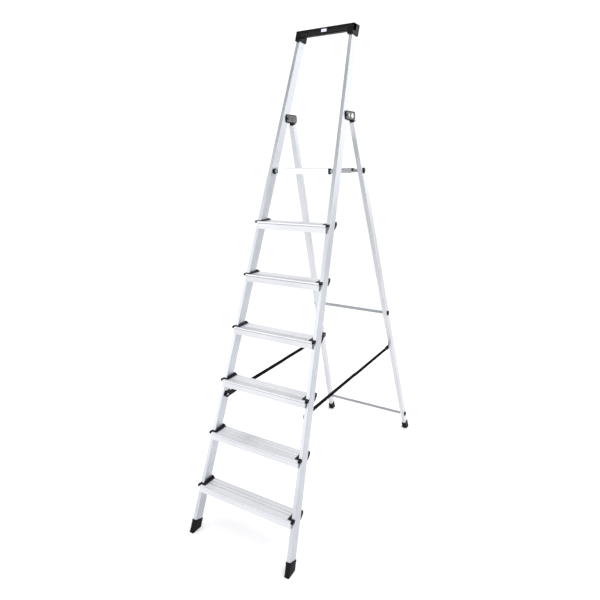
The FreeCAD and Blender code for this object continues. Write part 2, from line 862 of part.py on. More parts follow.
def rounded_plate(body, low, high, shrink, feature):
    """The knuckle's side view, a rectangle with four equal round corners."""
    low, high = size(low), size(high)
    sketch = sketch_on(body, "YZ_Plane", low)
    radius = d.knuckle_corner - shrink
    reach = d.knuckle_height / 2 - d.knuckle_corner
    near, far = hinge_y - d.knuckle_front + d.knuckle_corner, hinge_y + d.knuckle_back - d.knuckle_corner
    low_z, high_z = hinge_z - reach, hinge_z + reach
    centres = ((far, low_z), (far, high_z), (near, high_z), (near, low_z))
    arcs = []
    for turn, (y, z) in enumerate(centres):
        middle = Part.Circle(FreeCAD.Vector(y.value, z.value, 0), FreeCAD.Vector(0, 0, 1), radius.value)
        start = math.pi / 2 * (turn - 1)
        arcs.append(sketch.addGeometry(Part.ArcOfCircle(middle, start, start + math.pi / 2), False))
    for turn, arc in enumerate(arcs):
        following = arcs[(turn + 1) % len(arcs)]
        start, end = sketch.Geometry[arc].EndPoint, sketch.Geometry[following].StartPoint
        line = sketch.addGeometry(Part.LineSegment(start, end), False)
        sketch.addConstraint(Sketcher.Constraint("Tangent", arc, 2, line, 1))
        sketch.addConstraint(Sketcher.Constraint("Tangent", line, 2, following, 1))
    for arc, centre in zip(arcs, centres):
        bind_point(sketch, arc, 3, centre)
        index = sketch.addConstraint(Sketcher.Constraint("Radius", arc, radius.value))
        sketch.setExpression(f"Constraints[{index}]", radius.text)
    feature(body, sketch, high - low)


def knuckle(side):
    """Plastic fork over the stile's rear edge, with a plug that fills the leg's top."""
    body = new_body()
    rounded_plate(body, *span(side, knuckle_inner, knuckle_outer), size(0), pad)
    rounded_plate(body, *span(side, recess_floor, knuckle_outer + d.past), d.recess_rim, pocket)
    tall = d.knuckle_height
    slope = d.knuckle_height / 2 * tangent(d.front_lean)
    notch = (d.stile_depth - d.hinge_depth) / front.cosine + slope + d.knuckle_notch_gap
    slot = rectangle(hinge_y - tall, hinge_y + notch, hinge_z - tall, hinge_z + tall)
    side_prism(body, *span(side, cheek_inner_face, cheek_outer_face), slot, pocket)
    side_disc(body, *span(side, knuckle_inner - d.past, knuckle_outer + d.past), (hinge_y, hinge_z),
              d.pin_radius + d.run_gap, feature=pocket)
    plug_width = d.leg_width - leg_plug_gap * 2 - d.plug_trim
    plug_depth = d.leg_depth - leg_plug_gap * 2 - d.plug_back_trim
    plug_outer = -leg_plug_gap - d.plug_trim
    plug = box((plug_width, plug_depth, d.plug_length + d.plug_rise),
               rear.point(rear.outer(leg_top_run) * side, size(0), leg_top_run), rear.tilted(side),
               (span(side, plug_outer - plug_width, plug_outer)[0], leg_plug_gap, -d.plug_length))
    return cut(fuse([body, plug]), [leg_rivet_hole(side)])


def hinge_pin(side):
    inner_end = knuckle_inner - d.face_gap
    outer_end = recess_floor + d.face_gap
    shank = side_rod(side, inner_end, outer_end, hinge_y, hinge_z, d.pin_radius)
    inner = side_rod(side, inner_end - d.pin_head, inner_end, hinge_y, hinge_z, d.pin_head_radius)
    outer = side_rod(side, outer_end, outer_end + d.pin_head, hinge_y, hinge_z, d.pin_head_radius)
    return fuse([shank, inner, outer])


def hinge_spacers():
    """Washers between the stile's faces and the knuckle's cheeks."""
    tilt = d.spacer_radius * tangent(d.side_tilt) + d.lean_gap
    rings = []
    for _, side in SIDES:
        for near, far in ((stile_outer(hinge_y, hinge_z) + tilt, cheek_outer_face - d.face_gap),
                          (cheek_inner_face + d.face_gap, stile_inner(hinge_y, hinge_z) - tilt)):
            body = new_body()
            side_disc(body, *span(side, near, far), (hinge_y, hinge_z), d.spacer_radius,
                      d.pin_radius + d.press_gap)
            rings.append(body)
    return group(rings)


def cross_bar(y, z):
    return rod(leg_outer(y, z) + d.end_cap_lift, y, z)


def end_caps():
    """Round plastic caps over both ends of all three rear bars."""
    caps = []
    for y, z in bars:
        inner = leg_outer(y, z) + d.end_cap_lift
        for _, side in SIDES:
            body = new_body()
            side_disc(body, *span(side, inner, inner + d.end_cap_width), (y, z), d.end_cap_radius)
            side_disc(body, *span(side, inner - d.end_cap_plug, inner), (y, z),
                      d.rod_radius - d.rod_wall - d.run_gap)
            caps.append(body)
    return group(caps)


# ---------------------------------------------------------------- spreader straps

def anchor_rivet(side, y, reach):
    """A pin through a strap's eye, its head on the ladder's inside and its shank out to reach."""
    neck = strap_outer - d.strap_end_skin - d.face_gap
    head = side_rod(side, neck - d.rivet_head, neck, y, d.strap_height, d.anchor_head_radius)
    shank = side_rod(side, neck, reach, y, d.strap_height, d.rivet_shank)
    return fuse([head, shank])


def anchor_boss(side, inner_face, y):
    """A plastic distance ring between a tube's inner wall and the strap end."""
    body = new_body()
    lift = d.strap_boss_radius * tangent(d.side_tilt) + d.lean_gap
    side_disc(body, *span(side, strap_outer + d.boss_gap, inner_face - lift), (y, d.strap_height),
              d.strap_boss_radius, d.rivet_shank + d.press_gap)
    return body


def strap_end(side, y, direction, ends):
    """Plastic end of a strap: a round eye that tapers to the strap and wraps its end."""
    body = new_body()
    z = d.strap_height
    half = d.strap_width / 2 + d.strap_end_border
    side_disc(body, *span(side, *ends), (y, z), d.strap_end_radius)
    tip = y + d.strap_end_length * direction
    root = y + d.strap_end_radius * EYE_ROOT * direction
    rise = d.strap_end_radius * EYE_RISE
    taper = ((root, z - rise), (tip, z - half), (tip, z + half), (root, z + rise))
    side_prism(body, *span(side, *ends), taper)
    side_disc(body, *span(side, ends[0] - d.past, ends[1] + d.past), (y, z), d.rivet_shank + d.lean_gap,
              feature=pocket)
    return body


def strap_web(side, start, end, ends):
    z = d.strap_height
    half = d.strap_width / 2
    body = new_body()
    side_prism(body, *span(side, *ends), rectangle(start, end, z - half, z + half))
    return body


def build_strap(name, side):
    """Two halves of webbing in neighbouring planes, each with its plastic end."""
    front_plane = (strap_middle - d.strap_split / 2 - d.strap_skin, strap_middle - d.strap_split / 2)
    rear_plane = (strap_middle + d.strap_split / 2, strap_middle + d.strap_split / 2 + d.strap_skin)
    end_planes = (strap_outer - d.strap_end_skin, strap_outer)
    front_tip = strap_front_y + d.strap_end_length
    rear_tip = strap_rear_y - d.strap_end_length
    keep(strap_end(side, strap_front_y, 1, end_planes), f"strap_end_front_{name}")
    keep(strap_end(side, strap_rear_y, -1, end_planes), f"strap_end_rear_{name}")
    keep(strap_web(side, front_tip, strap_fold_y, front_plane), f"strap_web_front_{name}")
    keep(strap_web(side, strap_fold_y, rear_tip, rear_plane), f"strap_web_rear_{name}")
    keep(anchor_rivet(side, strap_rear_y, strap_outer - d.lean_gap), f"strap_stud_rear_{name}")


# ---------------------------------------------------------------- assembly

for name, side in SIDES:
    keep(stile(side), f"stile_{name}")
    keep(shoe(front, side, d.stile_width, d.stile_depth, d.front_foot_height, stile_foot_run),
         f"front_foot_{name}")
for step in steps:
    keep(tread(step), step.name)
    for name, side in SIDES:
        keep(step_cap(step, side), f"{step.name}_cap_{name}")
keep(hand_rail(), "hand_rail")
keep(label_plate(), "label_plate")
keep(group([rail_rivet(side) for _, side in SIDES]), "rail_rivets")
keep(front_rod(), "platform_front_rod")
keep(front_collars(), "platform_rod_collars")
keep(group([hinge_pin(side) for _, side in SIDES]), "hinge_pins")
keep(hinge_spacers(), "hinge_spacers")

keep(deck(), "platform_deck")
for name, side in SIDES:
    keep(front_bush(side), f"platform_bush_{name}")
    keep(rear_hook(side), f"platform_hook_{name}")

for name, side in SIDES:
    keep(rear_leg(side), f"rear_leg_{name}")
    keep(shoe(rear, side, d.leg_width, d.leg_depth, d.rear_foot_height, leg_foot_run), f"rear_foot_{name}")
    keep(knuckle(side), f"knuckle_{name}")
for (y, z), label in zip(bars, ("rear_bar_lower", "rear_bar_upper", "platform_rear_rod")):
    keep(cross_bar(y, z), label)
keep(end_caps(), "rear_bar_caps")
keep(group([leg_rivet(side) for _, side in SIDES]), "knuckle_rivets")

for name, side in SIDES:
    build_strap(name, side)
front_face = stile_inner(strap_front_y, d.strap_height)
rear_face = leg_inner(strap_rear_y, d.strap_height)
pin_reach = front_face + d.stile_wall + d.anchor_tail
keep(group([anchor_rivet(side, strap_front_y, pin_reach) for _, side in SIDES]), "strap_pins_front")
keep(group([anchor_boss(side, front_face, strap_front_y) for _, side in SIDES]), "strap_bosses_front")
keep(group([anchor_boss(side, rear_face, strap_rear_y) for _, side in SIDES]), "strap_bosses_rear")

doc.recompute()

# ---------------------------------------------------------------- checks and export

for node in doc.Objects:
    if "Invalid" in node.State or "Error" in node.State:
        raise RuntimeError(f"{node.Name} ({node.Label}) failed to recompute")
for label, node in parts.items():
    if node.Shape.isNull() or not node.Shape.isValid():
        raise RuntimeError(f"{label} has no valid shape")

os.makedirs("parts", exist_ok=True)
for label, node in parts.items():
    node.Shape.exportStep(f"parts/{label}.step")
print(len(parts), "parts written")
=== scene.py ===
"""Looks of the free-standing step ladder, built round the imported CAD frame, in its metres and axes."""
import json
import math

import bmesh
import bpy
from mathutils import Matrix, Vector


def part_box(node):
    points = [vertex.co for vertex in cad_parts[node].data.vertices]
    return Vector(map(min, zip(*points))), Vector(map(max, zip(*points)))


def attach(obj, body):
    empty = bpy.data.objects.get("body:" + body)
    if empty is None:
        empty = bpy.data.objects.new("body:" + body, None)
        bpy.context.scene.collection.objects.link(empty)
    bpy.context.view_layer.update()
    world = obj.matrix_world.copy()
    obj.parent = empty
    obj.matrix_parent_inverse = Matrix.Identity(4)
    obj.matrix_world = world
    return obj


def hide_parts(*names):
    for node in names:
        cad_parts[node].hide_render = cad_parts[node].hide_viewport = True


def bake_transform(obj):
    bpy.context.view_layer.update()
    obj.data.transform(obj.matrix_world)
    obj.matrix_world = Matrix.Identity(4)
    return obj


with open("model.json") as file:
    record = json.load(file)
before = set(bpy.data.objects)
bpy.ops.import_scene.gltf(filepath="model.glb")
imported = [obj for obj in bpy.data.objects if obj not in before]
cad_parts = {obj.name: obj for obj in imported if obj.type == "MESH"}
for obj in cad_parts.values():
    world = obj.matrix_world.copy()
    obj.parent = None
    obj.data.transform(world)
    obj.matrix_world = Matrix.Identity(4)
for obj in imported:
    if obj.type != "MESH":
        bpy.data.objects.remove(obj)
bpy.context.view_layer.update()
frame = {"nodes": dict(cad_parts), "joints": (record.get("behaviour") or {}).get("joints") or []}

SIDES = (("left", -1), ("right", 1))
STEPS = tuple(f"step_{number}" for number in range(1, 7))
PIVOT = {joint["name"]: Vector(joint["pos_m"]) for joint in frame["joints"]}

# The two frames lean towards each other, and each pair of tubes closes in towards its top.
LEAN = math.radians(19.7)
TILT = math.radians(3.1)
STILE_WIDTH = 0.0175
STILE_DEPTH = 0.0455
LEG_WIDTH = 0.023
LEG_DEPTH = 0.032
SHOE_WALL = 0.0026
ROD_RADIUS = 0.008

front_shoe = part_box("front_foot_right")
rear_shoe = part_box("rear_foot_right")
FRONT_FOOT = Vector((front_shoe[1].x - SHOE_WALL, front_shoe[0].y + SHOE_WALL / math.cos(LEAN), 0))
REAR_FOOT = Vector((rear_shoe[1].x - SHOE_WALL,
                    rear_shoe[1].y - (LEG_DEPTH + SHOE_WALL) / math.cos(LEAN), 0))


def leaning(foot, backward):
    """From (x, depth, run) of one leaning pair to the row frame."""
    return Matrix.Translation((0, foot.y, 0)) @ Matrix.Rotation(-LEAN * backward, 4, "X")


def along_tube(foot, backward, side):
    """The same, with run following one tube and x measured from its outer face."""
    corner = Matrix.Translation((foot.x * side, foot.y, 0))
    return corner @ Matrix.Rotation(-LEAN * backward, 4, "X") @ Matrix.Rotation(-TILT * side, 4, "Y")


FRONT = leaning(FRONT_FOOT, 1)
REAR = leaning(REAR_FOOT, -1)


# ---------------------------------------------------------------- materials

class Shader:
    """A Principled material whose inputs are fed by noise and waves."""

    def __init__(self, name, **values):
        self.material = bpy.data.materials.new(name)
        self.material.use_nodes = True
        self.tree = self.material.node_tree
        self.surface = next(n for n in self.tree.nodes if n.type == "BSDF_PRINCIPLED")
        self.set(self.surface, **values)
        self.place = self.add("ShaderNodeTexCoord").outputs["Object"]

    def set(self, node, **values):
        for name, value in values.items():
            socket = node.inputs[name.replace("_", " ")]
            if isinstance(value, bpy.types.NodeSocket):
                self.tree.links.new(value, socket)
            else:
                socket.default_value = value
        return node

    def add(self, kind, **values):
        return self.set(self.tree.nodes.new(kind), **values)

    def stretched(self, turn, scale):
        """Object coordinates turned to a piece's own direction, then stretched."""
        turned = self.add("ShaderNodeMapping", Vector=self.place, Rotation=turn)
        return self.add("ShaderNodeMapping", Vector=turned.outputs["Vector"], Scale=scale).outputs["Vector"]

    def noise(self, vector, scale, detail=4.0, roughness=0.5):
        node = self.add("ShaderNodeTexNoise", Vector=vector, Scale=scale, Detail=detail, Roughness=roughness)
        return node.outputs["Fac"]

    def wave(self, vector, scale, direction, distortion=0.0):
        node = self.add("ShaderNodeTexWave", Vector=vector, Scale=scale, Distortion=distortion)
        node.bands_direction = direction
        return node.outputs["Fac"]

    def remap(self, value, low, high, source=(0.3, 0.7)):
        node = self.add("ShaderNodeMapRange", Value=value, From_Min=source[0], From_Max=source[1],
                        To_Min=low, To_Max=high)
        return node.outputs["Result"]

    def mix(self, factor, first, second):
        node = self.tree.nodes.new("ShaderNodeMix")
        node.data_type = "RGBA"
        self.tree.links.new(factor, node.inputs["Factor"])
        for socket, colour in ((node.inputs[6], first), (node.inputs[7], second)):
            if isinstance(colour, bpy.types.NodeSocket):
                self.tree.links.new(colour, socket)
            else:
                socket.default_value = (*colour, 1)
        return node.outputs[2]

    def combine(self, operation, first, second):
        node = self.tree.nodes.new("ShaderNodeMath")
        node.operation = operation
        for socket, value in zip(node.inputs, (first, second)):
            if isinstance(value, bpy.types.NodeSocket):
                self.tree.links.new(value, socket)
            else:
                socket.default_value = value
        return node.outputs["Value"]

    def bump(self, height, strength, distance):
        node = self.add("ShaderNodeBump", Height=height, Strength=strength, Distance=distance)
        self.set(self.surface, Normal=node.outputs["Normal"])


def aluminium(name, turn, stretch, light=(0.56, 0.575, 0.605), dark=(0.42, 0.44, 0.475)):
    """Satin extruded aluminium: fine die lines along the piece, and slow cloudy tone changes."""
    shader = Shader(name, Metallic=1.0)
    lines = shader.noise(shader.stretched(turn, stretch), 1.0, detail=6.0, roughness=0.65)
    clouds = shader.noise(shader.place, 5.0, detail=3.0)
    tone = shader.combine("ADD", shader.combine("MULTIPLY", lines, 0.65),
                          shader.combine("MULTIPLY", clouds, 0.35))
    shader.set(shader.surface, Base_Color=shader.mix(shader.remap(tone, 0.0, 1.0, (0.35, 0.65)), dark, light),
               Roughness=shader.remap(tone, 0.25, 0.40))
    shader.bump(lines, 0.12, 0.0002)
    return shader.material


def plastic(name, colour, roughness=0.45, grain=900.0, gloss=0.12):
    """Moulded plastic: a fine spark-eroded grain and a slight change of sheen from place to place."""
    shader = Shader(name, Specular_IOR_Level=gloss)
    speck = shader.noise(shader.place, grain, detail=3.0)
    patch = shader.noise(shader.place, 35.0, detail=4.0)
    lighter = tuple(channel * 1.8 + 0.0015 for channel in colour)
    shader.set(shader.surface, Base_Color=shader.mix(shader.remap(patch, 0.0, 1.0), colour, lighter),
               Roughness=shader.remap(patch, roughness - 0.08, roughness + 0.1))
    shader.bump(speck, 0.25, 0.00012)
    return shader.material


def rubber(name):
    """Dull black foot material with fine moulded lines round it and a dusting towards grey."""
    shader = Shader(name, Specular_IOR_Level=0.12)
    speck = shader.noise(shader.place, 600.0, detail=5.0)
    dust = shader.noise(shader.place, 60.0, detail=5.0, roughness=0.7)
    rings = shader.wave(shader.place, 110.0, "Z")
    shader.set(shader.surface, Base_Color=shader.mix(shader.remap(dust, 0.0, 1.0, (0.45, 0.8)),
                                                     (0.003, 0.003, 0.0035), (0.010, 0.010, 0.012)),
               Roughness=shader.remap(dust, 0.5, 0.75))
    height = shader.combine("ADD", shader.combine("MULTIPLY", rings, 0.8),
                            shader.combine("MULTIPLY", speck, 0.3))
    shader.bump(height, 0.35, 0.0004)
    return shader.material


def webbing(name):
    """Flat woven strap: ribs across it, warp threads along it, both with a little wander."""
    shader = Shader(name, Specular_IOR_Level=0.03)
    weft = shader.wave(shader.place, 210.0, "Y", distortion=0.4)
    warp = shader.wave(shader.place, 320.0, "Z", distortion=0.3)
    weave = shader.combine("ADD", shader.combine("MULTIPLY", weft, 0.6),
                           shader.combine("MULTIPLY", warp, 0.4))
    fuzz = shader.noise(shader.place, 1500.0, detail=2.0)
    tone = shader.combine("ADD", shader.combine("MULTIPLY", weave, 0.7),
                          shader.combine("MULTIPLY", fuzz, 0.3))
    shader.set(shader.surface, Base_Color=shader.mix(shader.remap(tone, 0.0, 1.0, (0.2, 0.8)),
                                                     (0.002, 0.002, 0.0025), (0.007, 0.007, 0.008)),
               Roughness=0.85)
    shader.bump(tone, 0.6, 0.0005)
    return shader.material


def steel(name, tint=(0.60, 0.61, 0.63), smooth=0.2):
    """Bright plated steel with faint turning marks."""
    shader = Shader(name, Metallic=1.0)
    marks = shader.noise(shader.stretched((0, 0, 0), (900.0, 60.0, 60.0)), 1.0, detail=5.0)
    spots = shader.noise(shader.place, 90.0, detail=4.0)
    darker = tuple(channel * 0.72 for channel in tint)
    shader.set(shader.surface, Base_Color=shader.mix(shader.remap(spots, 0.0, 1.0), darker, tint),
               Roughness=shader.remap(marks, smooth, smooth + 0.16))
    shader.bump(marks, 0.1, 0.0001)
    return shader.material


def label_finish(name):
    """A blank pale plate with a faint mottled print tone."""
    shader = Shader(name, Specular_IOR_Level=0.5)
    mottle = shader.noise(shader.place, 220.0, detail=3.0)
    shader.set(shader.surface, Base_Color=shader.mix(shader.remap(mottle, 0.0, 1.0),
                                                     (0.50, 0.50, 0.72), (0.74, 0.74, 0.88)),
               Roughness=shader.remap(mottle, 0.28, 0.42))
    shader.bump(mottle, 0.1, 0.0001)
    return shader.material


NO_TURN = (0.0, 0.0, 0.0)
ALONG_RUN = (700.0, 700.0, 3.0)
ALONG_X = (3.0, 700.0, 700.0)
ALU_FRONT = aluminium("aluminium_stiles", (LEAN, 0, 0), ALONG_RUN)
# The rear legs get a lighter copy of the stiles' aluminium: painted light, standing in for the brighter light
# they catch from the floor.
ALU_LEGS_PAINTED_LIGHTER = aluminium("aluminium_legs_painted_lighter", (-LEAN, 0, 0), ALONG_RUN, (0.66, 0.675, 0.70), (0.50, 0.515, 0.545))
ALU_STEP = aluminium("aluminium_steps", NO_TURN, ALONG_X, (0.73, 0.74, 0.765), (0.60, 0.61, 0.64))
# Darker aluminium for the groove floors and the step under each nose: painted shade in the grooves, partly
# dirt held there, and a painted shadow line under the nose.
ALU_SHADE_AND_GROOVE_DIRT = aluminium("aluminium_painted_shade_and_groove_dirt", NO_TURN, ALONG_X, (0.20, 0.21, 0.225), (0.12, 0.125, 0.14))
ALU_ROD = aluminium("aluminium_rods", NO_TURN, ALONG_X, (0.36, 0.375, 0.40), (0.24, 0.25, 0.27))
BLACK = plastic("black_plastic", (0.003, 0.003, 0.004))
RAIL_BLACK = plastic("rail_plastic", (0.003, 0.003, 0.0034), roughness=0.42, gloss=0.08)
KNUCKLE_RIM = plastic("knuckle_plastic", (0.003, 0.003, 0.0034), roughness=0.35, gloss=0.08)
KNUCKLE_FACE = plastic("knuckle_face", (0.085, 0.086, 0.090), roughness=0.5, gloss=0.15)
SHOE = rubber("shoe_rubber")
WEB = webbing("strap_webbing")
STEEL = steel("bright_steel")
PIN_BLACK = steel("blackened_pin", (0.030, 0.030, 0.033), smooth=0.4)
# Bright steel for the discs on the knuckles' recess floors, which stand in for highlights: painted
# highlights.
HIGHLIGHT_STEEL = steel("painted_highlight_steel", (0.72, 0.73, 0.74), smooth=0.3)
LABEL = label_finish("blank_label")


# ---------------------------------------------------------------- mesh building

SHARP_ANGLE = math.radians(32)


def loft(mesh, rings, capped=True):
    """Joins rings of equal length with quads, and closes both ends when capped."""
    rows = [[mesh.verts.new(point) for point in ring] for ring in rings]
    count = len(rows[0])
    for low, high in zip(rows, rows[1:]):
        for index in range(count):
            following = (index + 1) % count
            mesh.faces.new((low[index], low[following], high[following], high[index]))
    if capped:
        mesh.faces.new(rows[0][::-1])
        mesh.faces.new(rows[-1])


def prism(mesh, outline, low, high):
    """A (y, z) outline carried from x = low to x = high."""
    loft(mesh, [[Vector((x, y, z)) for y, z in outline] for x in (low, high)])


def circle(count):
    """Cosine and sine of equal steps round one full turn."""
    angles = [math.tau * index / count for index in range(count)]
    return [(math.cos(angle), math.sin(angle)) for angle in angles]


def lathe(mesh, profile, centre, direction, count=32):
    """A turned piece along X: profile pairs of (distance, radius) from centre, in direction +1 or -1."""
    loft(mesh, [[centre + Vector((distance * direction, radius * across, radius * upward))
                 for across, upward in circle(count)] for distance, radius in profile])


def rounded(corners, radius, count=5):
    """A convex (y, z) outline with its corners rounded."""
    points = []
    total = len(corners)
    for index, corner in enumerate(corners):
        here = Vector(corner)
        before = Vector(corners[index - 1]) - here
        after = Vector(corners[(index + 1) % total]) - here
        half = before.angle(after) / 2
        reach = min(radius / math.tan(half), before.length * 0.49, after.length * 0.49)
        start = here + before.normalized() * reach
        end = here + after.normalized() * reach
        for step in range(count + 1):
            share = step / count
            points.append(tuple(start.lerp(here, share).lerp(here.lerp(end, share), share)))
    return points


def rectangle(y0, y1, z0, z1):
    return ((y0, z0), (y1, z0), (y1, z1), (y0, z1))


def mesh_object(name, build, material):
    """A new object in the scene, with the mesh that build makes and its normals facing outwards."""
    mesh = bmesh.new()
    build(mesh)
    bmesh.ops.recalc_face_normals(mesh, faces=mesh.faces[:])
    data = bpy.data.meshes.new(name)
    mesh.to_mesh(data)
    mesh.free()
    data.materials.append(material)
    thing = bpy.data.objects.new(name, data)
    bpy.context.scene.collection.objects.link(thing)
    return thing


def piece(name, build, material, body, nodes, bevel=0.0005, segments=2, second=None, picks=None):
    """Builds one named piece in mesh code, gives it soft edges, and puts it on its body.

    The second material goes on the faces whose centres the test called picks accepts.
    """
    thing = mesh_object(name, build, material)
    data = thing.data
    for polygon in data.polygons:
        polygon.use_smooth = True
    if second is not None:
        data.materials.append(second)
        for polygon in data.polygons:
            polygon.material_index = int(picks(polygon.center))
    if bevel:
        edge = thing.modifiers.new("soft_edges", "BEVEL")
        edge.width = bevel
        edge.segments = segments
        edge.limit_method = "ANGLE"
        edge.angle_limit = SHARP_ANGLE
        edge.harden_normals = True
    else:
        data.set_sharp_from_angle(angle=SHARP_ANGLE)
    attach(thing, body)
    if nodes:
        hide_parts(*nodes)


def finish_node(node, material):
    """Keeps a CAD node and gives it a full material."""
    slots = frame["nodes"][node].data.materials
    if not slots:
        slots.append(material)
    for index in range(len(slots)):
        slots[index] = material


def ordered(side, near, far):
    """Two distances from the middle as low and high X on one side."""
    return (near, far) if side > 0 else (-far, -near)


def inner_outer(low, high, side):
    """The X of a box's end near the middle, then of its far end."""
    return (low.x, high.x) if side > 0 else (high.x, low.x)


# ---------------------------------------------------------------- tubes

for name, _ in SIDES:
    finish_node(f"stile_{name}", ALU_FRONT)
    finish_node(f"rear_leg_{name}", ALU_LEGS_PAINTED_LIGHTER)


# ---------------------------------------------------------------- steps

TREAD_DEPTH = 0.080
SKIN = 0.0024
WALL = 0.0018
LIP_SETBACK = 0.0015
LIP_DEPTH = 0.032
SKIRT_DEPTH = 0.020
EDGE_BREAK = 0.0008
GROOVE_SLOPE = 0.0006
FINE_GROOVE = (0.0020, 0.0008)
BROAD_GROOVE = (0.0032, 0.0012)


def groove(start, top, size):
    """Outline points of one groove across a flat top, from its width and depth."""
    width, depth = size
    return [(start, top), (start + GROOVE_SLOPE, top - depth),
            (start + width - GROOVE_SLOPE, top - depth), (start + width, top)]


def nose_edge(nose, top):
    """The rounded front edge."""
    return [(nose, top - 0.0012), (nose + 0.0004, top - 0.0004), (nose + 0.0012, top)]


def nose_lip(nose, top):
    """The deep lip, from the underside of the skin down and back up to the nose."""
    lip = nose + LIP_SETBACK
    return [(lip + WALL, top - SKIN), (lip + WALL, top - LIP_DEPTH), (lip, top - LIP_DEPTH),
            (lip, top - 0.0085), (nose + 0.0004, top - 0.0075), (nose, top - 0.0066)]


def tread_section(nose, rear, top):
    """Fine grooves behind the nose, then broad bands between drainage grooves, a deep lip and a skirt."""
    points = nose_edge(nose, top)
    start, pitch, count = nose + 0.005, 0.0034, 8
    for index in range(count):
        points += groove(start + pitch * index, top, FINE_GROOVE)
    for share in (0.44, 0.68, 0.92):
        points += groove(nose + (rear - nose) * share, top, BROAD_GROOVE)
    points += [(rear - EDGE_BREAK, top), (rear, top - EDGE_BREAK), (rear, top - SKIRT_DEPTH),
               (rear - WALL, top - SKIRT_DEPTH), (rear - WALL, top - SKIN)]
    return points + nose_lip(nose, top)


def nose_section(nose, back, top):
    """The nose alone, where the tread passes in front of a stile."""
    return nose_edge(nose, top) + [(back, top), (back, top - SKIN)] + nose_lip(nose, top)


CAP_LAP = 0.009
CAP_PLATE = 0.003
CAP_DROP = 0.024
CAP_TAIL = 0.0045
CAP_HUMP = 0.0065
CAP_LEDGE = 0.0040
ARM_START = 0.002
ARM_REACH = 0.0085
NOSE_OVERHANG = 0.0205
NOSE_GAP = 0.0015
FACE_GAP = 0.0002

for step in STEPS:
    low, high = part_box(step)
    cap_low, cap_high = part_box(f"{step}_cap_right")
    tread_half = cap_low.x + CAP_LAP
    stile_face = low.y + NOSE_OVERHANG
    top = high.z
    rear = low.y + TREAD_DEPTH

    def build_tread(mesh):
        prism(mesh, tread_section(low.y, rear, top), -tread_half, tread_half)
        for side in (-1, 1):
            ends = ordered(side, tread_half, high.x)
            prism(mesh, nose_section(low.y, stile_face - NOSE_GAP, top), *ends)

    def takes_shade_and_groove_dirt(centre):
        """True on the floor of a broad groove (painted shade, partly dirt held there) and on the step back
        under the nose (a painted shadow line).
        """
        on_top = top - 0.0016 < centre.z < top - 0.0010 and centre.y > low.y + 0.003
        under_lip = centre.y < low.y + 0.0018 and top - 0.0086 < centre.z < top - 0.0064
        return on_top or under_lip

    # The darker second material paints shade into the grooves and a shadow line under the nose.
    piece(f"{step}_tread", build_tread, ALU_STEP, "ladder_frame", [step], bevel=0.0,
          second=ALU_SHADE_AND_GROOVE_DIRT, picks=takes_shade_and_groove_dirt)

    for name, side in SIDES:
        outer = cap_high.x
        wall = ordered(side, tread_half + FACE_GAP, tread_half + FACE_GAP + CAP_PLATE)
        lap = ordered(side, cap_low.x, tread_half + CAP_PLATE)
        arm = ordered(side, cap_low.x + ARM_START, outer)
        block = ordered(side, high.x + FACE_GAP, outer)
        lug = ordered(side, tread_half + FACE_GAP, outer - 0.0005)
        behind = stile_face + STILE_DEPTH / math.cos(LEAN) + 0.001
        slope = math.tan(LEAN)
        under, hump, ledge = top - CAP_DROP, top + CAP_HUMP, top + CAP_LEDGE
        tail, arm_front = rear + CAP_TAIL, stile_face - ARM_REACH

        def build_cap(mesh):
            """A plate on the tread's end, a ridge over its edge, the nose's arm and block, and a rear lug."""
            side_view = [(stile_face + 0.0004, under), (tail, under), (tail, hump - 0.0003),
                         (rear - 0.004, hump), (rear - 0.011, ledge), (stile_face + 0.010, ledge),
                         (stile_face + 0.0004, top + 0.0022)]
            prism(mesh, rounded(side_view, 0.003), *wall)
            ridge = [(arm_front, top), (rear, top), (rear, ledge), (rear - 0.012, top + 0.0024),
                     (stile_face + 0.008, top + 0.0024), (arm_front, top + 0.0018)]
            prism(mesh, rounded(ridge, 0.0012, 3), *lap)
            front_arm = rectangle(arm_front, stile_face - 0.0008, top, top + 0.0030)
            prism(mesh, rounded(front_arm, 0.0014, 3), *arm)
            nose_block = ((low.y + 0.0005, top - 0.007), (stile_face - 0.0034, top - 0.0075),
                          (stile_face - 0.0034, top + 0.0030), (low.y + 0.004, top + 0.0026),
                          (low.y + 0.0005, top - 0.0005))
            prism(mesh, rounded(nose_block, 0.0018), *block)
            rear_lug = [(behind + slope * CAP_HUMP, hump), (behind - slope * CAP_DROP, under),
                        (behind + 0.005 - slope * CAP_DROP, under), (tail, top - 0.008), (tail, hump)]
            prism(mesh, rounded(rear_lug, 0.002), *lug)

        piece(f"{step}_cap_{name}_shell", build_cap, BLACK, "ladder_frame", [f"{step}_cap_{name}"],
              bevel=0.0005)


# ---------------------------------------------------------------- feet

FRONT_SHOE_HEIGHT = 0.060
REAR_SHOE_HEIGHT = 0.042


def shoe_mesh(mesh, place, side, width, depth, height):
    """A sleeve with a rolled top edge, drawn along the tube and cut off at the floor."""
    grow = SHOE_WALL
    levels = ((-0.03, 0.0), (0.004, 0.0), (0.012, -0.0006), (height - 0.010, -0.0006), (height - 0.007, 0.0),
              (height - 0.001, 0.0), (height, -0.0010))
    x_near, x_far = ordered(side, -width - grow, grow)
    rings = []
    for run, swell in levels:
        corners = ((x_near - swell, -grow - swell), (x_far + swell, -grow - swell),
                   (x_far + swell, depth + grow + swell), (x_near - swell, depth + grow + swell))
        rings.append([place @ Vector((x, y, run)) for x, y in rounded(corners, 0.0035, 4)])
    loft(mesh, rings)
    geometry = mesh.verts[:] + mesh.edges[:] + mesh.faces[:]
    cut = bmesh.ops.bisect_plane(mesh, geom=geometry, plane_co=(0, 0, 0), plane_no=(0, 0, -1),
                                 clear_outer=True)
    edges = [e for e in cut["geom_cut"] if isinstance(e, bmesh.types.BMEdge)]
    bmesh.ops.contextual_create(mesh, geom=edges)


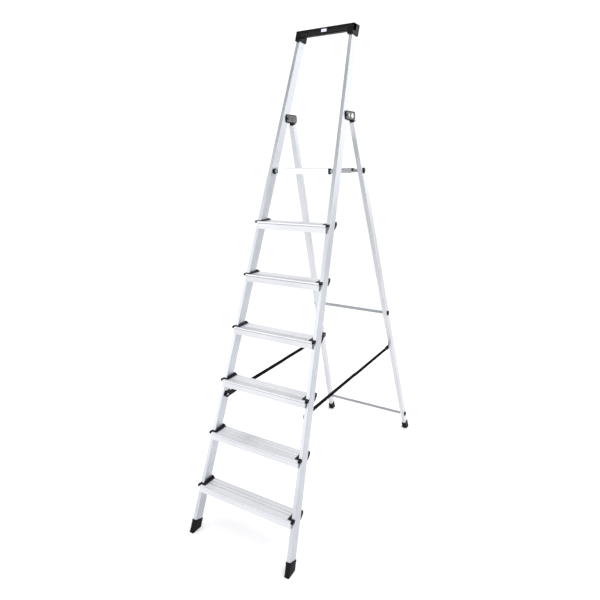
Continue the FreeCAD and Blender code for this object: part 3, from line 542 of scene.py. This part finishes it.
for name, side in SIDES:
    front_place = along_tube(FRONT_FOOT, 1, side)
    rear_place = along_tube(REAR_FOOT, -1, side)

    def build_front_shoe(mesh):
        shoe_mesh(mesh, front_place, side, STILE_WIDTH, STILE_DEPTH, FRONT_SHOE_HEIGHT)

    def build_rear_shoe(mesh):
        shoe_mesh(mesh, rear_place, side, LEG_WIDTH, LEG_DEPTH, REAR_SHOE_HEIGHT)

    piece(f"front_shoe_{name}", build_front_shoe, SHOE, "ladder_frame", [f"front_foot_{name}"],
          bevel=0.0006)
    piece(f"rear_shoe_{name}", build_rear_shoe, SHOE, "rear_frame", [f"rear_foot_{name}"],
          bevel=0.0006)


# ---------------------------------------------------------------- hand rail

rail_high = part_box("hand_rail")[1]
RAIL_FRONT = 0.008
RAIL_BACK = 0.047
GRIP_HEIGHT = 0.030
GRIP_DEPTH = 0.028
SOCKET_DROP = 0.042
SOCKET_FALL = 0.006
rail_top_run = (rail_high.z - RAIL_FRONT * math.sin(LEAN)) / math.cos(LEAN)


def stile_outer(run):
    """Distance from the middle to a stile's outer face, at one run along the leaning plane."""
    return FRONT_FOOT.x - run * math.tan(TILT)


def rail_face(depth, drop, shift=0.0):
    """A (y, z) point: a depth off the stile's front plane, a drop below the rail's top, a shift back."""
    z = rail_high.z - drop
    return FRONT_FOOT.y + depth / math.cos(LEAN) + z * math.tan(LEAN) + shift, z


def build_rail(mesh):
    """The grip bar, with a shallow groove across its front, and a socket over each stile."""
    half = rail_high.x
    groove_depth = 0.0007
    grip = rounded((rail_face(-RAIL_FRONT, 0), rail_face(-RAIL_FRONT, 0, GRIP_DEPTH),
                    rail_face(-RAIL_FRONT, GRIP_HEIGHT, GRIP_DEPTH),
                    rail_face(-RAIL_FRONT, GRIP_HEIGHT)), 0.003)
    grip += [rail_face(-RAIL_FRONT, GRIP_HEIGHT - 0.005),
             rail_face(-RAIL_FRONT, GRIP_HEIGHT - 0.0058, groove_depth),
             rail_face(-RAIL_FRONT, 0.0068, groove_depth), rail_face(-RAIL_FRONT, 0.006)]
    prism(mesh, grip, -half, half)
    inner = stile_outer(rail_top_run) - STILE_WIDTH - 0.003
    socket = rounded((rail_face(-RAIL_FRONT, 0.0004), rail_face(RAIL_BACK, 0.0004),
                      rail_face(RAIL_BACK, SOCKET_DROP + SOCKET_FALL),
                      rail_face(-RAIL_FRONT, SOCKET_DROP)), 0.003)
    for side in (-1, 1):
        prism(mesh, socket, *ordered(side, inner, half))


piece("hand_rail_grip", build_rail, RAIL_BLACK, "ladder_frame", ["hand_rail"], bevel=0.0010,
      segments=3)


def build_label(mesh):
    half_width, half_height = 0.013, 0.0065
    middle = rail_top_run - GRIP_HEIGHT / 2
    outline = rounded(rectangle(-half_width, half_width, middle - half_height, middle + half_height), 0.002)
    rings = [[FRONT @ Vector((x, depth, run)) for x, run in outline]
             for depth in (-RAIL_FRONT + 0.001, -RAIL_FRONT - 0.0007)]
    loft(mesh, rings)


piece("rail_label", build_label, LABEL, "ladder_frame", ["label_plate"], bevel=0.0002)


def build_rail_rivets(mesh):
    run = (rail_high.z - SOCKET_DROP - SOCKET_FALL) / math.cos(LEAN) - 0.004
    for side in (-1, 1):
        x = (stile_outer(run) - STILE_WIDTH / 2) * side
        profile = ((0.0015, 0.002), (0.0, 0.002), (0.0, 0.0032), (-0.0005, 0.0032), (-0.0010, 0.0026),
                   (-0.0012, 0.0012))
        loft(mesh, [[FRONT @ Vector((x + radius * across, depth, run + radius * upward))
                     for across, upward in circle(24)] for depth, radius in profile])


piece("rail_rivet_heads", build_rail_rivets, STEEL, "ladder_frame", ["rail_rivets"], bevel=0.0)


# ---------------------------------------------------------------- platform

deck_low, deck_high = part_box("platform_deck")
front_rod = PIVOT["platform_fold"]
rear_rod_low, rear_rod_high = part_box("platform_rear_rod")
rear_rod = (rear_rod_low + rear_rod_high) / 2


def build_deck(mesh):
    """Grooved like the treads, on full-depth ribs: nose, front rod, middle and rear rod."""
    nose, tail, top = deck_low.y, deck_high.y, deck_high.z
    under, drop = top - 0.0025, deck_low.z
    points = [(nose, top - 0.0015), (nose + 0.0005, top - 0.0005), (nose + 0.0015, top)]
    start, pitch, count = nose + 0.006, 0.0036, 9
    for index in range(count):
        points += groove(start + pitch * index, top, FINE_GROOVE)
    for share in (0.24, 0.40, 0.56, 0.72, 0.88):
        points += groove(nose + (tail - nose) * share, top, BROAD_GROOVE)
    points += [(tail - EDGE_BREAK, top), (tail, top - EDGE_BREAK), (tail, under)]
    back_rib = rear_rod.y - 0.020
    front_rib = front_rod.y + 0.0102
    for here in (back_rib, (front_rib + back_rib) / 2, front_rib):
        points += [(here + WALL, under), (here + WALL, drop), (here, drop), (here, under)]
    points += [(nose + WALL, under), (nose + WALL, drop), (nose + 0.0004, drop), (nose, drop + 0.0006)]
    prism(mesh, points, deck_low.x, deck_high.x)


piece("platform_deck_shell", build_deck, ALU_STEP, "platform", ["platform_deck"], bevel=0.0)


def turned_ring(radius_low, radius_high, length, edge=0.0006):
    """Lathe profile of a plain ring with softened outer corners."""
    return ((0.0, radius_low), (0.0, radius_high - edge), (edge, radius_high), (length - edge, radius_high),
            (length, radius_high - edge), (length, radius_low))


for name, side in SIDES:
    inner, outer = inner_outer(*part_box(f"platform_bush_{name}"), side)
    flange = abs(outer) - deck_high.x

    def build_bush(mesh):
        centre = Vector((inner, front_rod.y, front_rod.z))
        sleeve = abs(outer - inner) - flange
        lathe(mesh, ((0.0, ROD_RADIUS + 0.0002), (0.0, 0.0095), (0.0005, 0.010), (sleeve, 0.010),
                     (sleeve, 0.0119), (sleeve + 0.0006, 0.0125), (sleeve + flange - 0.0008, 0.0125),
                     (sleeve + flange, 0.0117), (sleeve + flange, ROD_RADIUS + 0.0002)), centre, side)

    piece(f"platform_bush_{name}_sleeve", build_bush, BLACK, "platform", [f"platform_bush_{name}"],
          bevel=0.0)
    finish_node(f"platform_hook_{name}", BLACK)


def build_collars(mesh):
    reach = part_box("platform_rod_collars")[1].x
    for side in (-1, 1):
        centre = Vector((reach * side, front_rod.y, front_rod.z))
        lathe(mesh, turned_ring(ROD_RADIUS + 0.00005, 0.012, 0.004), centre, -side)


piece("platform_rod_rings", build_collars, BLACK, "ladder_frame", ["platform_rod_collars"],
      bevel=0.0)


def rod_piece(node, body):
    """A drawn round tube with softly broken ends."""
    low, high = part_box(node)
    centre = (low + high) / 2
    radius = (high.z - low.z) / 2

    def build(mesh):
        start = Vector((low.x, centre.y, centre.z))
        length = high.x - low.x
        bore = radius - 0.0012
        lathe(mesh, ((0.0, bore), (0.0, radius - 0.0003), (0.0003, radius), (length - 0.0003, radius),
                     (length, radius - 0.0003), (length, bore)), start, 1, count=40)

    piece(f"{node}_tube", build, ALU_ROD, body, [node], bevel=0.0)
    return centre, high.x


rod_piece("platform_front_rod", "ladder_frame")
bar_ends = [rod_piece(node, "rear_frame")
            for node in ("rear_bar_lower", "rear_bar_upper", "platform_rear_rod")]


def build_bar_caps(mesh):
    """Domed push-in caps with a rounded rim."""
    for centre, reach in bar_ends:
        for side in (-1, 1):
            start = Vector((reach * side, centre.y, centre.z))
            lathe(mesh, ((0.0, 0.0108), (0.0, 0.0123), (0.0006, 0.0130), (0.0022, 0.0130), (0.0034, 0.0118),
                         (0.0042, 0.0088), (0.0045, 0.0045), (0.0045, 0.0010)), start, side)


piece("rear_bar_end_caps", build_bar_caps, BLACK, "rear_frame", ["rear_bar_caps"], bevel=0.0)


# ---------------------------------------------------------------- knuckles

hinge = PIVOT["rear_frame_fold"]
KNUCKLE_HALF = 0.018
KNUCKLE_FRONT = 0.012
KNUCKLE_BACK = 0.078
KNUCKLE_CORNER = 0.011
KNUCKLE_NOTCH = 0.0255
CHEEK_GAP = 0.0017
STILE_AT_HINGE = stile_outer((hinge.z + 0.031 * math.sin(LEAN)) / math.cos(LEAN))
PLUG_RISE = 0.014
leg_top_run = ((hinge.z - KNUCKLE_HALF) * math.cos(LEAN)
               - (hinge.y + KNUCKLE_BACK - REAR_FOOT.y) * math.sin(LEAN) - 0.0006)


def plate(x, shrink, from_notch=False):
    """The knuckle's side view as a ring of points at one x; from_notch starts it at the stile's notch."""
    half = KNUCKLE_HALF - shrink
    back = KNUCKLE_BACK - shrink
    corner = KNUCKLE_CORNER - shrink
    points = []
    for y, z, start in ((back - corner, corner - half, -90), (back - corner, half - corner, 0),
                        (corner + shrink - KNUCKLE_FRONT, half - corner, 90),
                        (corner + shrink - KNUCKLE_FRONT, corner - half, 180)):
        for index in range(9):
            angle = math.radians(start + 90 * index / 8)
            points.append(Vector((x, hinge.y + y + corner * math.cos(angle),
                                  hinge.z + z + corner * math.sin(angle))))
    if from_notch:
        edge = hinge.y + KNUCKLE_NOTCH + shrink
        return points[:18] + [Vector((x, edge, hinge.z + half)), Vector((x, edge, hinge.z - half))]
    return points


def oval(x, y, radius_y, radius_z):
    """A ring round a point behind the hinge pin, at one x."""
    return [Vector((x, hinge.y + y + radius_y * across, hinge.z + radius_z * upward))
            for across, upward in circle(36)]


for name, side in SIDES:
    inner, outer = inner_outer(*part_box(f"knuckle_{name}"), side)
    cheek_inner = (STILE_AT_HINGE - STILE_WIDTH - CHEEK_GAP) * side
    cheek_outer = (STILE_AT_HINGE + CHEEK_GAP) * side
    rim, depth = 0.0030, 0.0012

    def build_knuckle(mesh):
        """Two cheeks with a rim round a recess, the block between them, and the plug in the leg's top."""
        loft(mesh, [plate(inner + 0.0010 * side, rim), plate(inner + 0.0010 * side, rim - 0.0004),
                    plate(inner, rim - 0.0008), plate(inner, 0.0012), plate(inner + 0.0003 * side, 0.0005),
                    plate(inner + 0.0010 * side, 0.0), plate(cheek_inner, 0.0)])
        loft(mesh, [plate(cheek_outer, 0.0), plate(outer - 0.0010 * side, 0.0),
                    plate(outer - 0.0003 * side, 0.0005), plate(outer, 0.0012), plate(outer, rim - 0.0004),
                    plate(outer - 0.0003 * side, rim), plate(outer - depth * side, rim + 0.0003)])
        loft(mesh, [plate(cheek_inner - 0.0005 * side, 0.0004, True),
                    plate(cheek_outer + 0.0005 * side, 0.0004, True)])
        neck_x = ordered(side, -LEG_WIDTH + 0.0015, -0.0055)
        corner = REAR @ Vector(((REAR_FOOT.x - leg_top_run * math.tan(TILT)) * side, 0, leg_top_run))
        turn = (Matrix.Translation(corner) @ Matrix.Rotation(LEAN, 4, "X")
                @ Matrix.Rotation(-TILT * side, 4, "Y"))
        section = rounded(((neck_x[0], 0.0015), (neck_x[1], 0.0015), (neck_x[1], LEG_DEPTH - 0.0105),
                           (neck_x[0], LEG_DEPTH - 0.0105)), 0.002)
        loft(mesh, [[turn @ Vector((x, y, run)) for x, y in section] for run in (-0.008, PLUG_RISE)])

    piece(f"knuckle_{name}_body", build_knuckle, KNUCKLE_RIM, "rear_frame", [f"knuckle_{name}"],
          bevel=0.0)

    def build_faces(mesh):
        """The grey floors of both recesses."""
        for x, lift in ((inner + 0.0011 * side, -0.0004 * side),
                        (outer - (depth + 0.0001) * side, 0.0003 * side)):
            loft(mesh, [plate(x, rim + 0.0002), plate(x + lift, rim + 0.0006)])

    piece(f"knuckle_{name}_faces", build_faces, KNUCKLE_FACE, "rear_frame", [], bevel=0.0)

    def build_highlight_marks(mesh):
        """Painted highlights on the recess floor, as bright steel discs: a narrow oval behind the pin, a disc
        over the leg's top.
        """
        floor = outer - depth * side
        for place, radius_y, radius_z in ((0.018, 0.0044, 0.0080), (0.050, 0.0112, 0.0105)):
            loft(mesh, [oval(floor, place, radius_y, radius_z),
                        oval(floor + 0.0006 * side, place, radius_y, radius_z),
                        oval(floor + 0.0010 * side, place, radius_y - 0.0008, radius_z - 0.0008)])

    # These bright discs are painted highlights.
    piece(f"knuckle_{name}_highlight_discs", build_highlight_marks, HIGHLIGHT_STEEL, "rear_frame", [], bevel=0.0)


def build_pins(mesh):
    """A shank with a broad low head at each end."""
    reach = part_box("hinge_pins")[1].x
    head, shank_radius, head_radius = 0.0016, 0.005, 0.0075
    for side in (-1, 1):
        inner = abs(inner_outer(*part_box(f"knuckle_{'right' if side > 0 else 'left'}"), side)[0])
        start = Vector(((inner - 0.0002) * side, hinge.y, hinge.z))
        length = reach - inner + 0.0002
        lathe(mesh, ((-head, 0.001), (-head, 0.0058), (-head + 0.0004, 0.0071), (-head + 0.0009, head_radius),
                     (0.0, head_radius), (0.0, shank_radius), (length - head, shank_radius),
                     (length - head, head_radius), (length - 0.0009, head_radius), (length - 0.0004, 0.0071),
                     (length, 0.0058), (length, 0.001)), start, side)


piece("hinge_pin_heads", build_pins, PIN_BLACK, "ladder_frame", ["hinge_pins"], bevel=0.0)
finish_node("hinge_spacers", STEEL)


def build_knuckle_rivets(mesh):
    low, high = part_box("knuckle_rivets")
    centre = (low + high) / 2
    reach = LEG_WIDTH + 0.0026
    for side in (-1, 1):
        start = Vector(((high.x - reach) * side, centre.y, centre.z))
        lathe(mesh, ((0.0, 0.001), (0.0003, 0.0022), (0.0012, 0.0032), (0.0012, 0.002),
                     (reach - 0.0012, 0.002), (reach - 0.0012, 0.0032), (reach - 0.0003, 0.0022),
                     (reach, 0.001)), start, side, count=24)


piece("knuckle_rivet_heads", build_knuckle_rivets, STEEL, "rear_frame", ["knuckle_rivets"],
      bevel=0.0)


# ---------------------------------------------------------------- spreader straps

EYE_RADIUS = 0.014
END_LENGTH = 0.052
WEB_HALF = 0.010
WEB_TUCK = 0.006
WEB_EASING = 0.05


def domed_pin(length):
    """Lathe profile of a low domed head on a shank of 2 mm radius."""
    return ((0.0, 0.0010), (0.0002, 0.0026), (0.0007, 0.0040), (0.0012, 0.0042), (0.0012, 0.002),
            (length, 0.002))


def strap_end_outline(eye, direction):
    """A round eye that narrows to the width of the strap."""
    points = []
    for index in range(25):
        angle = math.radians(65 + 230 * index / 24)
        points.append((eye.y + EYE_RADIUS * math.cos(angle) * direction,
                       eye.z + EYE_RADIUS * math.sin(angle)))
    tip = eye.y + END_LENGTH * direction
    neck = eye.y + END_LENGTH * 0.55 * direction
    half = WEB_HALF + 0.0014
    return points + [(neck, eye.z - half - 0.0004), (tip, eye.z - half), (tip, eye.z + half),
                     (neck, eye.z + half + 0.0004)]


for name, side in SIDES:
    front_eye = PIVOT[f"strap_front_{name}_fold"]
    fold = PIVOT[f"strap_rear_{name}_fold"]
    rear_low, rear_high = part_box(f"strap_stud_rear_{name}")
    rear_eye = (rear_low + rear_high) / 2
    front_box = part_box(f"strap_web_front_{name}")
    rear_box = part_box(f"strap_web_rear_{name}")
    front_x = (front_box[0].x + front_box[1].x) / 2
    rear_x = (rear_box[0].x + rear_box[1].x) / 2

    for place, eye, direction, body in (("front", front_eye, 1, f"strap_front_{name}"),
                                        ("rear", rear_eye, -1, f"strap_rear_{name}")):
        end_low, end_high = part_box(f"strap_end_{place}_{name}")

        def build_end(mesh):
            prism(mesh, strap_end_outline(eye, direction), end_low.x, end_high.x)
            for share in (0.62, 0.74, 0.86):
                here = eye.y + END_LENGTH * share * direction
                grip = rectangle(here - 0.0012, here + 0.0012, eye.z - 0.008, eye.z + 0.008)
                prism(mesh, rounded(grip, 0.0011, 3), end_low.x - 0.0003, end_high.x + 0.0003)

        piece(f"strap_end_{place}_{name}_moulding", build_end, BLACK, body, [f"strap_end_{place}_{name}"],
              bevel=0.0007)

    def build_web(mesh):
        """One ribbon from end to end, easing from the front plane to the rear plane near the fold."""
        start, end = front_box[0].y - WEB_TUCK, rear_box[1].y + WEB_TUCK
        count = 180
        thick, edge = 0.0006, 0.0010
        rings = []
        for index in range(count + 1):
            y = start + (end - start) * index / count
            share = min(max((y - fold.y) / WEB_EASING + 0.5, 0), 1)
            ease = share * share * (3 - 2 * share)
            x = front_x + (rear_x - front_x) * ease
            section = ((-thick, edge - WEB_HALF), (-thick * 0.5, -WEB_HALF), (thick * 0.5, -WEB_HALF),
                       (thick, edge - WEB_HALF), (thick, WEB_HALF - edge), (thick * 0.5, WEB_HALF),
                       (-thick * 0.5, WEB_HALF), (-thick, WEB_HALF - edge))
            rings.append([Vector((x + across, y, fold.z + upward)) for across, upward in section])
        loft(mesh, rings)

    web = mesh_object(f"strap_webbing_{name}", build_web, WEB)
    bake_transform(web)
    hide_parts(f"strap_web_front_{name}", f"strap_web_rear_{name}")

    def build_stud(mesh):
        near, far = inner_outer(rear_low, rear_high, side)
        lathe(mesh, domed_pin(abs(far - near)), Vector((near, rear_eye.y, rear_eye.z)), side, count=28)

    piece(f"strap_stud_{name}_head", build_stud, STEEL, f"strap_rear_{name}", [f"strap_stud_rear_{name}"],
          bevel=0.0)


def build_front_pins(mesh):
    eye = PIVOT["strap_front_left_fold"]
    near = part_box("strap_end_front_right")[0].x - 0.0014
    profile = domed_pin(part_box("strap_pins_front")[1].x - near)
    for side in (-1, 1):
        lathe(mesh, profile, Vector((near * side, eye.y, eye.z)), side, count=28)


piece("strap_pin_heads", build_front_pins, STEEL, "ladder_frame", ["strap_pins_front"], bevel=0.0)
finish_node("strap_bosses_front", BLACK)
finish_node("strap_bosses_rear", BLACK)


# ---------------------------------------------------------------- floor, light and camera

FLOOR_DROP = 0.0005
FLOOR_RADII = (0.001, 2.0, 8.0, 60.0)


def floor_finish():
    shader = Shader("pale_floor", Specular_IOR_Level=0.1)
    shade = shader.noise(shader.place, 2.0, detail=2.0)
    shader.set(shader.surface, Base_Color=shader.mix(shader.remap(shade, 0.0, 1.0), (0.90, 0.90, 0.905),
                                                     (0.92, 0.92, 0.925)), Roughness=0.9)
    return shader.material


def build_floor(mesh):
    """A flat disc a hair below the soles."""
    loft(mesh, [[Vector((radius * across, radius * upward, -FLOOR_DROP)) for across, upward in circle(64)]
                for radius in FLOOR_RADII], capped=False)


mesh_object("floor", build_floor, floor_finish())

# The world's base strength, and three soft patches of it: the way to each, the cosines between which it fades
# in, and what it adds.  They lie high at the front left, low behind to the right, and low at the front left.
WORLD_STRENGTH = 1.15
WORLD_PATCHES = (((-0.42, -0.55, 0.72), 0.80, 0.97, -0.62),
                 ((0.40, 0.88, 0.22), 0.72, 0.95, 0.75),
                 ((-0.57, -0.78, 0.15), 0.88, 0.95, 1.15))


def studio_world():
    """White all round, dimmer or brighter in its patches."""
    world = bpy.data.worlds.new("studio")
    bpy.context.scene.world = world
    world.use_nodes = True
    tree = world.node_tree
    background = next(n for n in tree.nodes if n.type == "BACKGROUND")
    place = tree.nodes.new("ShaderNodeTexCoord")

    def patch(direction, low, high):
        """How far a view direction is inside one patch, from 0 to 1."""
        dot = tree.nodes.new("ShaderNodeVectorMath")
        dot.operation = "DOT_PRODUCT"
        tree.links.new(place.outputs["Generated"], dot.inputs[0])
        dot.inputs[1].default_value = Vector(direction).normalized()
        fade = tree.nodes.new("ShaderNodeMapRange")
        fade.interpolation_type = "SMOOTHSTEP"
        tree.links.new(dot.outputs["Value"], fade.inputs["Value"])
        fade.inputs["From Min"].default_value = low
        fade.inputs["From Max"].default_value = high
        return fade.outputs["Result"]

    def scaled(value, factor, offset):
        node = tree.nodes.new("ShaderNodeMath")
        node.operation = "MULTIPLY_ADD"
        tree.links.new(value, node.inputs[0])
        node.inputs[1].default_value = factor
        if isinstance(offset, bpy.types.NodeSocket):
            tree.links.new(offset, node.inputs[2])
        else:
            node.inputs[2].default_value = offset
        return node.outputs["Value"]

    strength = WORLD_STRENGTH
    for direction, low, high, change in WORLD_PATCHES:
        strength = scaled(patch(direction, low, high), change, strength)
    tree.links.new(strength, background.inputs["Strength"])
    background.inputs["Color"].default_value = (1.0, 1.0, 1.0, 1)


studio_world()


def soft_box(name, place, target, size, power):
    light = bpy.data.lights.new(name, "AREA")
    light.shape = "RECTANGLE"
    light.size, light.size_y = size
    light.energy = power
    thing = bpy.data.objects.new(name, light)
    thing.location = place
    thing.rotation_euler = (Vector(target) - Vector(place)).to_track_quat("-Z", "Y").to_euler()
    bpy.context.scene.collection.objects.link(thing)


soft_box("top_box", (0.5, -0.5, 5.0), (0, 0, 0.8), (4.0, 4.0), 90)
soft_box("right_box", (4.5, 0.5, 2.6), (0, 0, 1.0), (2.5, 3.0), 45)

AZIMUTH = math.radians(31.056)
ELEVATION = math.radians(15.396)
ROLL = math.radians(-0.486)
CAMERA_PLACE = (1.1418, -2.0513, 1.5889)
LENS = 30.09
SENSOR_WIDTH = 36.0
FAR_CLIP = 200.0

camera_data = bpy.data.cameras.new("camera")
camera_data.sensor_width = SENSOR_WIDTH
camera_data.lens = LENS
camera_data.clip_end = FAR_CLIP
camera = bpy.data.objects.new("camera", camera_data)
bpy.context.scene.collection.objects.link(camera)
back = Vector((math.sin(AZIMUTH) * math.cos(ELEVATION), -math.cos(AZIMUTH) * math.cos(ELEVATION),
               math.sin(ELEVATION)))
right = (-back).cross(Vector((0, 0, 1))).normalized()
up = right.cross(-back)
level_right = right * math.cos(ROLL) + up * math.sin(ROLL)
level_up = up * math.cos(ROLL) - right * math.sin(ROLL)
turn = Matrix((level_right, level_up, back)).transposed().to_4x4()
camera.matrix_world = Matrix.Translation(CAMERA_PLACE) @ turn
bpy.context.scene.camera = camera
bpy.context.scene.view_settings.view_transform = "Standard"
